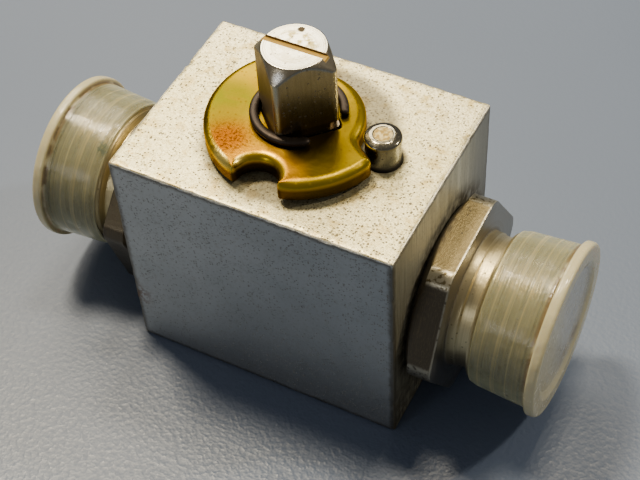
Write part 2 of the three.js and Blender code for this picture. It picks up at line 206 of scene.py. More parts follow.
def make_floor():
    bm = bmesh.new()
    bmesh.ops.create_grid(bm, x_segments=8, y_segments=8, size=2)
    floor = add_to_scene("floor", mesh_from(bm, "floor"))
    floor.data.materials.append(floor_finish())
    floor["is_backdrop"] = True


# ---------------------------------------------------------------- shader helper
class Shader:
    """A node material with short calls for the patterns that the finishes share. Sizes are in mm."""

    def __init__(self, name, **constants):
        self.material = bpy.data.materials.new(name)
        self.material.use_nodes = True
        self.tree = self.material.node_tree
        self.surface = self.tree.nodes["Principled BSDF"]
        coordinates = self.tree.nodes.new("ShaderNodeTexCoord")
        in_mm = self.node("ShaderNodeVectorMath", operation="SCALE")
        self.feed(in_mm.inputs[0], coordinates.outputs["Object"])
        in_mm.inputs["Scale"].default_value = 1 / MM
        self.place = in_mm.outputs[0]
        self.x, self.y, self.z = self.parts(self.place)
        self.facing = self.parts(coordinates.outputs["Normal"])
        self.drive(**constants)

    def node(self, kind, **settings):
        made = self.tree.nodes.new(kind)
        for key, value in settings.items():
            setattr(made, key, value)
        return made

    def feed(self, socket, value):
        if isinstance(value, bpy.types.NodeSocket):
            self.tree.links.new(value, socket)
        elif isinstance(value, tuple) and socket.type == "RGBA":
            socket.default_value = (*value, 1)
        else:
            socket.default_value = value

    def drive(self, **sockets):
        for name, value in sockets.items():
            self.feed(self.surface.inputs[name.replace("_", " ")], value)

    def maths(self, operation, *values):
        made = self.node("ShaderNodeMath", operation=operation)
        for socket, value in zip(made.inputs, values):
            self.feed(socket, value)
        return made.outputs[0]

    def parts(self, vector):
        made = self.node("ShaderNodeSeparateXYZ")
        self.feed(made.inputs[0], vector)
        return made.outputs[0], made.outputs[1], made.outputs[2]

    def joined(self, x, y, z):
        made = self.node("ShaderNodeCombineXYZ")
        for socket, value in zip(made.inputs, (x, y, z)):
            self.feed(socket, value)
        return made.outputs[0]

    def both(self, *masks):
        result = masks[0]
        for mask in masks[1:]:
            result = self.maths("MULTIPLY", result, mask)
        return result

    def either(self, *masks):
        result = masks[0]
        for mask in masks[1:]:
            result = self.maths("MAXIMUM", result, mask)
        return result

    def plus(self, a, b):
        return self.maths("ADD", a, b)

    def minus(self, a, b):
        return self.maths("SUBTRACT", a, b)

    def absolute(self, value):
        return self.maths("ABSOLUTE", value)

    def without(self, mask):
        return self.minus(1.0, mask)

    def span(self, share, start, end):
        """start where share is 0, and end where it is 1."""
        return self.maths("MULTIPLY_ADD", share, end - start, start)

    def distance(self, a, b):
        return self.maths("SQRT", self.plus(self.both(a, a), self.both(b, b)))

    def distance_to(self, x, y, z=None):
        """Distance in mm from a line along Z, or from a point where z is given."""
        flat = self.distance(self.minus(self.x, x), self.minus(self.y, y))
        return flat if z is None else self.distance(flat, self.minus(self.z, z))

    def step(self, value, start, end):
        """Rises smoothly from 0 at start to 1 at end. end may be below start."""
        made = self.node("ShaderNodeMapRange", interpolation_type="SMOOTHSTEP")
        self.feed(made.inputs["Value"], value)
        lower, upper = (start, end) if start < end else (end, start)
        made.inputs["From Min"].default_value = lower
        made.inputs["From Max"].default_value = upper
        made.inputs["To Min"].default_value = 0.0 if start < end else 1.0
        made.inputs["To Max"].default_value = 1.0 if start < end else 0.0
        return made.outputs[0]

    def near(self, place, start, end):
        """Rises from 0 at start mm from a place to 1 at end mm. A place of x and y is a line along Z."""
        return self.step(self.distance_to(*place), start, end)

    def grain(self, size, detail=2.0, where=None, rough=0.5, warp=0.0):
        """Soft noise about 0.5, with blotches about size mm across."""
        made = self.node("ShaderNodeTexNoise")
        self.feed(made.inputs["Vector"], where or self.place)
        made.inputs["Scale"].default_value = 1 / size
        made.inputs["Detail"].default_value = detail
        made.inputs["Roughness"].default_value = rough
        made.inputs["Distortion"].default_value = warp
        return made.outputs[0]

    def patches(self, size, detail, start, end):
        """Blotches about size mm across, where the noise rises from start to end."""
        return self.step(self.grain(size, detail), start, end)

    def dots(self, size, radius, share, density=None):
        """Round spots in a share of the cells about size mm across. A radius of 0.5 would fill a cell."""
        made = self.node("ShaderNodeTexVoronoi")
        self.feed(made.inputs["Vector"], self.place)
        made.inputs["Scale"].default_value = 1 / size
        chance = self.parts(made.outputs["Color"])[0]
        if density is not None:
            chance = self.plus(chance, density)
        present = self.step(chance, 1 - share, 1.02 - share)
        return self.both(self.step(made.outputs["Distance"], radius * 1.35, radius * 0.7), present)

    def grazing(self, start, end):
        """Rises from 0 to 1 as the surface turns away from the viewer."""
        made = self.node("ShaderNodeLayerWeight")
        made.inputs["Blend"].default_value = 0.5
        return self.step(made.outputs["Facing"], start, end)

    def stretched(self, scale, turn=(0, 0, 0)):
        """The place with each axis scaled, after a turn in degrees: a small scale draws the pattern out."""
        made = self.node("ShaderNodeMapping", vector_type="POINT")
        rotated = self.node("ShaderNodeVectorRotate", rotation_type="EULER_XYZ")
        self.feed(rotated.inputs["Vector"], self.place)
        rotated.inputs["Rotation"].default_value = [math.radians(t) for t in turn]
        self.feed(made.inputs["Vector"], rotated.outputs[0])
        made.inputs["Scale"].default_value = scale
        return made.outputs[0]

    def scratches(self, turn, width, start, end):
        """Thin broken lines at a turn in degrees."""
        lines = self.grain(width, 0, self.stretched((0.03, 1, 1), turn))
        return self.both(self.step(lines, start, end), self.patches(4, 1, 0.5, 0.62))

    def mix(self, share, a, b):
        made = self.node("ShaderNodeMix", data_type="RGBA")
        for index, value in ((0, share), (6, a), (7, b)):
            self.feed(made.inputs[index], value)
        return made.outputs[2]

    def layers(self, color, *layers):
        """The colour with layers laid over it in turn. A layer is a colour and the masks that place it."""
        for over, *masks in layers:
            color = self.mix(self.both(*masks), color, over)
        return color

    def ramp(self, value, *stops):
        made = self.node("ShaderNodeValToRGB")
        self.feed(made.inputs[0], value)
        while len(made.color_ramp.elements) < len(stops):
            made.color_ramp.elements.new(0.5)
        for element, (position, color) in zip(made.color_ramp.elements, stops):
            element.position = position
            element.color = (*color, 1)
        return made.outputs[0]

    def bump(self, *layers):
        """Stacks (height, depth in mm) layers on the surface's normal."""
        normal = None
        for height, depth in layers:
            made = self.node("ShaderNodeBump")
            made.inputs["Distance"].default_value = depth * MM
            self.feed(made.inputs["Height"], height)
            if normal is not None:
                self.feed(made.inputs["Normal"], normal)
            normal = made.outputs[0]
        self.drive(Normal=normal)


# ---------------------------------------------------------------- finishes
def floor_finish():
    s = Shader("pale_floor")
    tone = s.grain(60, 1)
    pebbles = s.grain(0.75, 1)
    nearer = s.step(s.minus(s.y, s.both(s.x, 0.3)), 40, -45)
    color = s.layers(
        s.mix(tone, (0.106, 0.143, 0.222), (0.129, 0.167, 0.252)),
        # Painted pool of light: the floor is paler and warmer at the near left.
        ((0.176, 0.197, 0.243), nearer, s.step(s.x, 5, -50), 0.6),
    )
    s.drive(Base_Color=color, Roughness=s.span(s.both(pebbles, nearer), 0.56, 0.24))
    s.bump((s.both(pebbles, s.span(nearer, 0.2, 1.0)), 0.11))
    return s.material


def cream_plate(s, tone):
    """The block's top: yellowed plate, partly a painted warm light, paler at the back as a painted sheen,
    with soft brown blotches.
    """
    return s.layers(
        s.mix(tone, (0.66, 0.59, 0.33), (0.84, 0.77, 0.48)),
        # Painted sheen: paler towards the back.
        ((0.88, 0.81, 0.56), s.step(s.y, 3, 14), 0.6),
        ((0.58, 0.47, 0.21), s.patches(2.2, 3, 0.50, 0.72)),
        ((0.32, 0.26, 0.10), s.patches(0.32, 2, 0.46, 0.66), 0.58),
    )


def milled_streaks(s, lines):
    """The port faces: upright tool marks, brighter high up as a painted light, dark by the front edge, and
    cool and darker at the back as a painted shade.
    """
    fine = s.ramp(
        lines,
        (0.30, (0.07, 0.06, 0.035)),
        (0.42, (0.50, 0.45, 0.28)),
        (0.55, (0.88, 0.82, 0.58)),
        (0.74, (0.98, 0.94, 0.74)),
    )
    broad = s.step(s.grain(1.1, 2, s.stretched((1, 1, 0.06)), rough=0.6), 0.46, 0.70)
    return s.layers(
        s.mix(broad, s.mix(0.5, fine, (0.37, 0.31, 0.18)), fine),
        # Painted light: paler high up.
        ((0.98, 0.93, 0.68), s.step(s.z, 22, 34), 0.45),
        ((0.10, 0.085, 0.05), s.step(s.y, -5, -15), 0.55),
        # Painted shade: cool grey towards the back.
        ((0.20, 0.205, 0.205), s.step(s.y, 4, 14), 0.7),
    )


def block_marks(s, top, upright, milled, fine):
    """Specks, closer together towards the right-front corner of the top and high on the upright faces."""
    front_corner = s.both(s.step(s.y, 4, BLOCK_LOW.y), s.step(s.x, -6, BLOCK_HIGH.x))
    upper_part = s.step(s.z, 14, BLOCK_HIGH.z - 2)
    crowding = s.plus(
        s.both(top, s.span(front_corner, 0.0, 0.26)),
        s.both(upright, s.span(upper_part, -0.12, 0.16)),
    )
    small = s.dots(0.40, 0.32, 0.34, crowding)
    large = s.both(s.dots(0.80, 0.28, 0.10, crowding), s.span(top, 0.3, 1.0), s.step(fine, 0.42, 0.55))
    return s.both(s.either(small, large), s.without(milled))


def ragged_edge(s):
    """Distance in mm from the block's nearest edge, made uneven by noise."""
    half = (BLOCK_HIGH - BLOCK_LOW) / 2
    edge_x = s.minus(half.x, s.absolute(s.x))
    edge_y = s.minus(half.y, s.absolute(s.y))
    edge_z = s.maths("MINIMUM", s.z, s.minus(BLOCK_HIGH.z, s.z))
    nearer = s.maths("MINIMUM", edge_x, edge_y)
    edge = s.either(nearer, s.maths("MINIMUM", s.either(edge_x, edge_y), edge_z))
    return s.maths("MULTIPLY_ADD", s.grain(1.2, 3), 0.7, s.minus(edge, 0.35))


def block_dirt_and_shade(s, top, milled):
    """Dirt and painted shade round the hexagons, darker low on the port faces, dirt and painted shadow
    round the disc, most at its front, and dirt round the pin.
    """
    # Dirt patches with painted shade round the hexagon, and darker low down.
    round_nut = s.step(s.distance(s.y, s.minus(s.z, PORT_Z)), 17, 13.5)
    low_end = s.both(s.step(s.z, 16, 4), 0.9)
    on_port_face = s.both(milled, s.either(round_nut, low_end), s.patches(1.5, 3, 0.28, 0.62))
    # Painted shadow with dirt patches: a dark ring on the top round the disc.
    halo = s.near((0, 0), DISC_RADIUS + 2.4, DISC_RADIUS - 0.6)
    front_side = s.both(s.step(s.y, 0, -8), s.patches(1.6, 3, 0.3, 0.62))
    round_disc = s.both(top, halo, s.either(front_side, halo), 0.7)
    round_pin = s.both(top, s.near(PIN_PLACE.xy, 3.6, 2.7), 0.8)
    return s.either(on_port_face, round_disc, round_pin)


def block_finish():
    """Zinc-plated machined steel, speckled on top, milled on the port faces and worn at the edges; its
    faces and edges also carry painted light and shade.
    """
    s = Shader("zinc_plated_block")
    side_ways, _, up = s.facing
    top = s.step(up, 0.5, 0.8)
    milled = s.step(s.absolute(side_ways), 0.5, 0.8)
    upright = s.without(s.either(top, milled))
    tone, fine = s.grain(7, 3), s.grain(0.45, 3)
    lines = s.grain(0.30, 3, s.stretched((1, 1, 0.035)), rough=0.7)
    slate = s.layers(
        s.mix(tone, (0.42, 0.44, 0.44), (0.58, 0.59, 0.585)),
        # Painted shade: darker towards the right.
        ((0.26, 0.265, 0.26), s.step(s.x, -14, 10), 0.25),
    )

    marks = block_marks(s, top, upright, milled, fine)
    rust = s.near((BLOCK_LOW.x + 1, BLOCK_LOW.y + 1, BLOCK_HIGH.z), 9, 1)
    rust = s.both(rust, s.dots(0.6, 0.34, 0.30), top)
    scores = s.either(
        s.scratches((0, 35, 8), 0.16, 0.70, 0.76),
        s.scratches((0, -50, 20), 0.14, 0.71, 0.77),
    )
    from_edge = ragged_edge(s)
    top_edge = s.both(s.step(from_edge, 0.42, 0.18), s.step(s.z, BLOCK_HIGH.z - 1.2, BLOCK_HIGH.z - 0.5))
    # Painted shade: a dark band beside the rounded edges, below the edge highlight.
    edge_shade = s.both(s.step(from_edge, 1.1, 0.3), s.without(top_edge), s.without(top))
    dirt = block_dirt_and_shade(s, top, milled)
    smudge = s.both(s.near((BLOCK_LOW.x, BLOCK_LOW.y, 10), 4, 0.5), s.patches(0.9, 3, 0.42, 0.6))
    color = s.layers(
        # The top is cream and the upright faces slate grey: partly the plate's own tone, partly painted
        # light, warm on the top and a painted cool reflection on the upright faces.
        s.mix(top, slate, cream_plate(s, tone)),
        (milled_streaks(s, lines), milled),
        ((0.30, 0.27, 0.21), s.step(fine, 0.5, 0.75), 0.3),
        ((0.10, 0.075, 0.045), marks, s.span(top, 0.52, 0.76)),
        ((0.42, 0.27, 0.09), rust, 0.7),
        ((0.12, 0.11, 0.10), scores, upright, 0.5),
        ((0.10, 0.08, 0.05), edge_shade, 0.75),
        # Worn bright edges along the top, also a painted highlight.
        ((0.80, 0.75, 0.60), top_edge, s.patches(2.5, 2, 0.40, 0.50), 0.8),
        # Dirt, with painted shade round the hexagons and painted shadow round the disc.
        ((0.065, 0.05, 0.03), dirt, 0.85),
        ((0.17, 0.075, 0.03), smudge, 0.6),
    )
    matt = s.either(marks, dirt, smudge)
    s.drive(Base_Color=color)
    s.drive(Metallic=s.both(s.span(matt, 0.88, 0.25), s.span(milled, 1.0, 0.55)))
    s.drive(Roughness=s.plus(s.span(matt, 0.42, 0.70), s.span(fine, -0.06, 0.06)))
    s.bump((s.grain(0.25, 3), 0.02), (s.both(lines, milled), 0.14), (s.without(marks), 0.02))
    return s.material


def around_port(s):
    """Distance out along the port, and from the port's axis, in mm."""
    return s.absolute(s.x), s.distance(s.y, s.minus(s.z, PORT_Z))


def connector_finish():
    """Zinc plate gone golden on the neck, with turning rings, specks and dirt, worn bright edges, painted
    highlights on the hexagon's edges, and painted shade in the corners, under the neck, on the faces turned
    down and on the left connector.
    """
    s = Shader("zinc_plated_connector")
    out, radius = around_port(s)
    side_ways, _, up = s.facing
    tone = s.grain(5, 3)
    rings = s.grain(0.16, 2, s.joined(radius, 0, out), rough=0.7)
    end_face = s.step(s.absolute(side_ways), 0.80, 0.95)
    off_end = s.without(end_face)
    on_left = s.step(s.x, 0, -1)
    # Painted shade: the faces turned down and the left connector are darker.
    shaded_faces = s.both(s.either(s.step(up, 0.70, 0.50), s.both(on_left, 0.8)), off_end)
    neck = s.step(out, HEX["end"] - 0.1, HEX["end"] + 0.3)
    plate = s.layers(
        s.mix(tone, (0.128, 0.102, 0.048), (0.20, 0.162, 0.084)),
        ((0.10, 0.07, 0.03), s.patches(0.35, 2, 0.50, 0.62), 0.4),
        ((0.30, 0.305, 0.31), end_face, 0.85),
        ((0.085, 0.072, 0.056), shaded_faces, 0.90),
    )
    golden = s.layers(
        s.mix(tone, (0.50, 0.41, 0.21), (0.78, 0.67, 0.40)),
        # Painted shade: darker under the neck.
        ((0.13, 0.115, 0.095), s.step(s.z, PORT_Z + 3, PORT_Z - 6), 0.78),
    )

    # Worn bright edges and corners on the hexagon, also a painted highlight.
    flat_edge = s.step(out, HEX["end"] - 0.35, HEX["end"] - 0.1)
    flat_edge = s.both(flat_edge, s.without(neck), s.patches(1.2, 3, 0.35, 0.5))
    corner = s.step(radius, HEX["turned"] - 0.30, HEX["turned"] - 0.12)
    corner = s.both(corner, s.patches(0.6, 3, 0.36, 0.50), 0.6)
    worn = s.both(s.either(flat_edge, corner), off_end, s.without(on_left), s.span(shaded_faces, 0.75, 0.4))
    # Dark patches by the block, under the neck and in the collar's corner: dirt with painted shade.
    behind = s.both(s.step(out, HEX["start"] + 1.6, HEX["start"] + 0.2), s.patches(1.1, 3, 0.30, 0.6))
    below = s.both(neck, s.step(s.z, PORT_Z - 2, PORT_Z - 8), s.patches(0.9, 3, 0.40, 0.56))
    in_corner = s.step(s.absolute(s.minus(radius, NECK["collar"])), 0.8, 0.1)
    in_corner = s.both(in_corner, s.step(out, HEX["end"] + 0.8, HEX["end"]), 0.5)
    specks = s.both(s.dots(0.5, 0.30, 0.12), off_end, 0.6)
    grime_and_shade = s.either(behind, below, in_corner, specks)
    color = s.layers(
        plate,
        (golden, neck),
        ((0.22, 0.17, 0.09), s.step(rings, 0.45, 0.7), 0.30),
        ((0.80, 0.75, 0.58), worn),
        ((0.05, 0.04, 0.03), grime_and_shade, 0.85),
    )
    s.drive(Base_Color=color, Metallic=s.span(grime_and_shade, 0.90, 0.3))
    s.drive(Roughness=s.plus(s.span(grime_and_shade, 0.32, 0.65), s.span(tone, -0.06, 0.08)))
    s.bump((rings, 0.02), (s.grain(0.5, 3), 0.02))
    return s.material


def cap_finish(side):
    """Yellowed polyethylene, clear enough over the thread to show it and solid in the flange, with painted
    glints of the thread, painted light on the lower side and painted shade in the dish.
    """
    s = Shader(f"cap_plastic_{side}", IOR=1.51, Coat_Weight=0.24, Coat_Roughness=0.05)
    s.drive(Subsurface_Weight=0.35, Subsurface_Scale=2.2 * MM)
    s.surface.inputs["Subsurface Radius"].default_value = (1.0, 0.8, 0.45)
    out, radius = around_port(s)
    rings = s.joined(radius, 0, out)
    drawn = s.grain(0.5, 3, rings, rough=0.6)
    fine_drawn = s.grain(0.22, 2, rings, rough=0.6)
    tone = s.grain(6, 3)
    flange = s.step(out, CAP["flange"] - 0.9, CAP["flange"] + 0.1)
    rim = s.mix(tone, (0.56, 0.50, 0.30), (0.66, 0.60, 0.38))
    grey = s.mix(tone, (0.38, 0.37, 0.33), (0.46, 0.45, 0.41))
    inward = s.step(radius, CAP_DISH["radius"] + 0.3, CAP_DISH["radius"] - 0.9)
    face = s.both(s.step(out, CAP_DISH["face"] - 0.5, CAP_DISH["face"] - 0.1), inward)
    stain = s.distance(s.both(s.minus(s.y, 4.8), 0.30), s.minus(s.z, PORT_Z - 7.4))
    stain = s.both(face, s.step(stain, 1.9, 0.4), s.patches(2.4, 1, 0.30, 0.60), CAP_STAIN[side])
    root = s.step(s.absolute(s.minus(out, CAP["flange"] - 0.2)), 0.60, 0.2)
    root = s.both(root, s.step(radius, CAP["root"] + 0.7, CAP["root"]), s.patches(2.5, 2, 0.30, 0.50))
    brown = s.either(stain, s.both(root, s.step(s.z, PORT_Z - 4, PORT_Z + 3), 0.85))
    green_smear = s.both(s.near((-31.4, -5.2, PORT_Z + 10.3), 1.5, 0.3), s.patches(0.8, 3, 0.35, 0.55))
    color = s.layers(
        s.mix(tone, (0.29, 0.30, 0.185), (0.42, 0.42, 0.27)),
        # Painted light: paler on the lower side.
        ((0.52, 0.53, 0.35), s.step(s.z, PORT_Z + 4, PORT_Z - 9), 0.6),
        (rim, flange),
        # Painted highlights: bright golden streaks where the thread glints through the wall.
        ((0.86, 0.74, 0.38), s.step(drawn, 0.47, 0.66), s.without(flange), 0.6),
        ((0.30, 0.26, 0.14), s.step(fine_drawn, 0.50, 0.70), 0.25),
        # Painted shade: grey in the back half of the dish.
        (grey, face, s.step(s.y, -7, 3)),
        ((0.17, 0.105, 0.035), brown),
        ((0.14, 0.10, 0.05), s.dots(1.6, 0.16, 0.10), 0.7),
        ((0.06, 0.16, 0.14), green_smear),
    )
    solid = s.either(flange, s.grazing(0.45, 0.95))
    s.drive(Base_Color=color, Alpha=s.either(s.span(solid, 0.40, 1.0), brown))
    s.drive(Roughness=s.span(s.grain(1.4, 3), 0.16, 0.34))
    s.bump((drawn, 0.05), (s.grain(2.6, 2), 0.20))
    return s.material


def stem_finish():
    """Plated turned steel: turning rings on top, darker and duller on the left flat, dirt in the slot,
    painted shade on the slot's walls and in the ring groove, and a painted highlight on the front chamfer.
    """
    s = Shader("stem_steel", Specular_Tint=(0.80, 0.70, 0.50))
    side_ways, _, up = s.facing
    radius = s.distance_to(0, 0)
    tone = s.grain(3, 3)
    rings = s.grain(0.22, 3, s.joined(radius, 0, 0), rough=0.6)
    drawn = s.grain(0.28, 3, s.stretched((1, 1, 0.10)), rough=0.6)
    end_face = s.both(s.step(up, 0.90, 0.98), s.step(s.z, STEM_TOP - 0.3, STEM_TOP - 0.1))
    on_far_half = s.span(s.step(s.y, -1, 1.5), 0.40, 0.95)
    bright = s.layers(
        s.mix(tone, (0.84, 0.80, 0.62), (0.95, 0.92, 0.80)),
        ((0.42, 0.37, 0.24), s.step(rings, 0.47, 0.58), s.step(radius, 1.8, 3.6), 0.75),
        ((0.30, 0.235, 0.07), s.patches(0.9, 3, 0.38, 0.58), s.step(radius, 4.0, 2.2), on_far_half),
    )

    left_flat = s.both(s.step(side_ways, -0.45, -0.65), s.without(s.step(up, 0.2, 0.4)))
    darker_low = s.step(s.plus(s.z, s.span(s.grain(3, 3), -2, 2)), 48.5, 44.0)
    chamfer = s.step(up, 0.25, 0.45)
    wall = s.layers(
        s.mix(drawn, (0.25, 0.225, 0.165), (0.48, 0.44, 0.345)),
        # Darker and browner on the left flat.
        ((0.115, 0.074, 0.030), left_flat, 0.92),
        # Darker and browner lower down.
        ((0.15, 0.115, 0.07), darker_low, 0.45),
        ((0.56, 0.52, 0.37), s.step(radius, STEM["radius"] - 0.22, STEM["radius"] - 0.08), 0.8),
        (s.mix(s.grain(1.2, 2), (0.36, 0.28, 0.17), (0.66, 0.58, 0.42)), chamfer, 0.85),
        # Painted highlight: a near-white spot on the front chamfer.
        ((0.97, 0.95, 0.88), chamfer, s.near((0.5, -5.1, 53.1), 1.3, 0.3), 0.9),
        # Painted shade: dark in the ring groove.
        ((0.09, 0.065, 0.040), s.step(s.z, RING_GROOVE["top"] + 0.25, RING_GROOVE["top"] - 0.05), 0.75),
    )

    off_slot, half_width, floor_z = s.absolute(s.y), SLOT["half_width"], STEM_TOP - SLOT["depth"]
    in_slot = s.both(
        s.step(off_slot, half_width + 0.06, half_width - 0.02),
        s.step(s.z, floor_z - 0.3, floor_z - 0.1),
        s.step(s.z, STEM_TOP - 0.02, STEM_TOP - 0.12),
    )
    slot_dirt_and_shade = s.layers(
        s.mix(s.grain(0.8, 3), (0.26, 0.15, 0.02), (0.50, 0.31, 0.06)),
        # Painted shade: dark along the slot's walls.
        ((0.12, 0.07, 0.03), s.step(off_slot, half_width - 0.10, half_width), 0.5),
    )
    pit_edge = s.plus(s.distance_to(-0.7, 3.3), s.span(s.grain(0.5, 2), -0.25, 0.25))
    pit = s.both(end_face, s.step(pit_edge, 0.52, 0.34))
    dirt = s.either(pit, s.both(s.dots(0.5, 0.28, 0.16), 0.5))
    dull_left_flat = s.both(left_flat, 0.55)
    s.drive(Base_Color=s.layers(wall, (bright, end_face), (slot_dirt_and_shade, in_slot), ((0.06, 0.04, 0.02), dirt)))
    s.drive(Metallic=s.span(s.either(dull_left_flat, dirt, s.both(in_slot, 0.8)), 1.0, 0.2))
    rough = s.span(s.either(dull_left_flat, dirt, in_slot), 0.25, 0.6)
    s.drive(Roughness=s.plus(rough, s.span(tone, -0.05, 0.07)))
    s.bump((s.both(rings, end_face), 0.02), (drawn, 0.015), (s.without(pit), 0.10))
    return s.material


def disc_finish():
    """Yellow chromate, shifting between olive, gold and orange, with a pitted rusty patch by the notch,
    painted highlights on the rolled edge and painted shade on the side wall and the left of the roll.
    """
    s = Shader("gold_chromate", Specular_Tint=(1.0, 0.72, 0.12))
    drift = s.grain(5, 3, warp=0.6)
    from_rust = s.distance_to(-6.5, -8.4)
    olive = s.step(s.plus(s.x, s.span(drift, -5, 5)), 1, 7)
    green = s.both(s.near((-9.7, -2.6), 6.5, 1.5), s.step(drift, 0.30, 0.60))
    orange = s.step(s.plus(from_rust, s.span(drift, 2.0, -2.0)), 6.0, 1.0)
    pits = s.both(s.patches(0.45, 3, 0.44, 0.66), s.step(from_rust, 5.4, 1.0))
    freckles = s.dots(0.55, 0.30, 0.20)
    side_wall = s.step(s.z, DISC_TOP - 0.7, DISC_TOP - 1.6)
    rolled = s.both(s.step(s.z, DISC_TOP - 0.01, DISC_TOP - 0.12), s.without(side_wall))
    in_notch = s.near((0, -NOTCH["distance"]), NOTCH["radius"] + 0.8, NOTCH["radius"] + 0.3)
    color = s.layers(
        s.mix(s.step(drift, 0.35, 0.68), (0.27, 0.15, 0.0), (0.35, 0.235, 0.0)),
        ((0.22, 0.165, 0.0), s.step(s.y, 1, 8), 0.6),
        ((0.108, 0.082, 0.0), s.step(s.x, -2, -9), s.step(s.y, 5, 0), 0.75),
        ((0.090, 0.064, 0.0), olive, 0.85),
        ((0.092, 0.100, 0.0), green, 0.85),
        ((0.155, 0.036, 0.0), orange, 0.85),
        ((0.46, 0.20, 0.0), s.near((0.6, -NOTCH["distance"]), 7.5, 3.6), 0.7),
        ((0.052, 0.014, 0.001), pits, 0.7),
        ((0.11, 0.055, 0.0), freckles, 0.4),
        # Painted shade: the side wall darker than the top.
        ((0.085, 0.056, 0.0), side_wall, 0.75),
        # Painted highlight: the roll brighter.
        ((0.66, 0.46, 0.02), rolled, 0.75),
        # Painted shade: the roll darker at the left.
        ((0.070, 0.045, 0.0), rolled, s.step(s.x, -5, -9), s.step(s.y, -9, -6), 0.75),
        # Painted highlight: the roll near the notch tip.
        ((1.0, 0.80, 0.22), rolled, s.near((-5.2, -10.8), 3.0, 1.0), 0.9),
        # Painted shade: the side wall darker still at the left, and a painted shadow in the notch.
        ((0.035, 0.022, 0.0), side_wall, s.step(s.x, -4, -8), 0.8),
        ((0.020, 0.014, 0.0), side_wall, in_notch, 0.85),
    )
    s.drive(Base_Color=color, Metallic=1.0)
    rough = s.either(s.both(pits, 0.8), s.both(freckles, 0.6))
    s.drive(Roughness=s.plus(s.span(rough, 0.31, 0.5), s.span(drift, -0.05, 0.07)))
    s.bump((s.grain(4, 2), 0.12), (s.grain(0.4, 3), 0.012), (s.without(pits), 0.02))
    return s.material


def ring_finish():
    s = Shader("spring_steel", Metallic=0.75)
    tone = s.grain(1.6, 3)
    color = s.layers(
        s.mix(tone, (0.025, 0.018, 0.014), (0.065, 0.048, 0.036)),
        ((0.14, 0.11, 0.08), s.patches(0.7, 3, 0.60, 0.74), 0.5),
    )
    s.drive(Base_Color=color, Roughness=s.span(tone, 0.38, 0.55))
    s.bump((s.grain(0.3, 3), 0.015))
    return s.material


def pin_finish():
    s = Shader("pin_steel")
    crown = s.near(PIN_PLACE.xy, PIN["crown"], PIN["crown"] - 0.25)
    crown = s.both(crown, s.step(s.z, 42.9, 43.0))
    crown_color = s.mix(s.patches(0.5, 3, 0.4, 0.6), (0.22, 0.15, 0.045), (0.42, 0.34, 0.16))
    tone = s.grain(1.2, 3)
    foot = s.step(s.z, BLOCK_HIGH.z + 1.1, BLOCK_HIGH.z)
    dirt = s.either(s.both(foot, 0.8), s.both(s.patches(0.25, 1.5, 0.64, 0.69), 0.6))
    color = s.layers(
        s.mix(tone, (0.25, 0.225, 0.155), (0.40, 0.365, 0.27)),
        ((0.36, 0.35, 0.30), s.step(s.z, 42.6, 42.0)),
        (crown_color, crown),
        ((0.06, 0.045, 0.03), dirt),
    )
    s.drive(Base_Color=color, Metallic=s.span(dirt, 1.0, 0.5))
    s.drive(Roughness=s.plus(s.span(s.either(dirt, crown), 0.16, 0.42), s.span(tone, -0.03, 0.05)))
    s.bump((s.grain(0.35, 2), 0.02))
    return s.material


def even_finish(name, tone, rough, bump, **constants):
    """One soft tone: (size, dark, pale). rough is (size, from, to) and bump is (size, detail, depth)."""
    s = Shader(name, **constants)
    tone_size, dark, pale = tone
    rough_size, smoothest, roughest = rough
    bump_size, detail, depth = bump
    s.drive(Base_Color=s.mix(s.grain(tone_size, 3), dark, pale))
    s.drive(Roughness=s.span(s.grain(rough_size, 3), smoothest, roughest))
    s.bump((s.grain(bump_size, detail), depth))
    return s.material


def ball_finish():
    tone = (4, (0.72, 0.74, 0.76), (0.80, 0.81, 0.82))
    return even_finish("chromed_ball", tone, (4, 0.06, 0.14), (1.0, 2, 0.004), Metallic=1.0)


def seat_finish():
    tone = (3, (0.74, 0.71, 0.62), (0.82, 0.80, 0.73))
    return even_finish("seat_plastic", tone, (0.6, 0.42, 0.60), (0.5, 3, 0.02), IOR=1.48)


def seal_finish():
    tone = (0.8, (0.012, 0.012, 0.013), (0.035, 0.034, 0.033))
    return even_finish("seal_rubber", tone, (0.8, 0.5, 0.75), (0.3, 3, 0.02), IOR=1.5)


# ---------------------------------------------------------------- meshes
def new_piece(name, vertices, faces):
    """A mesh object from points in mm."""
    mesh = bpy.data.meshes.new(name)
    mesh.from_pydata([Vector(v) * MM for v in vertices], [], faces)
    bm = bmesh.new()
    bm.from_mesh(mesh)
    bmesh.ops.remove_doubles(bm, verts=bm.verts, dist=0.002 * MM)
    bmesh.ops.recalc_face_normals(bm, faces=bm.faces)
    bm.to_mesh(mesh)
    bm.free()
    return add_to_scene(name, mesh)


def bake_modifiers(piece):
    depsgraph = bpy.context.evaluated_depsgraph_get()
    mesh = bpy.data.meshes.new_from_object(piece.evaluated_get(depsgraph))
    piece.modifiers.clear()
    piece.data = mesh


def cut(piece, *cutters):
    """Takes the cutters out of the piece, and removes them."""
    for cutter in cutters:
        modifier = piece.modifiers.new("cut", "BOOLEAN")
        modifier.operation = "DIFFERENCE"
        modifier.solver = "EXACT"
        modifier.object = cutter
    bake_modifiers(piece)
    for cutter in cutters:
        bpy.data.objects.remove(cutter)
    return piece


def dress(piece, material, body, node, sharp=32):
    """Shades the finished piece, gives it its material and puts it in the CAD node's place."""
    piece.data.materials.clear()
    piece.data.materials.append(material)
    piece.data.shade_smooth()
    piece.data.set_sharp_from_angle(angle=math.radians(sharp))
    weighted = piece.modifiers.new("weighted", "WEIGHTED_NORMAL")
    weighted.keep_sharp = True
    bake_modifiers(piece)
    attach(piece, body)
    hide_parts(node)


# ---------------------------------------------------------------- turned shapes
# One ring of a turned shape. Where it has an outline, the radius is cut down to outline(angle, height).
Row = namedtuple("Row", "radius height outline inset", defaults=(None, 0))


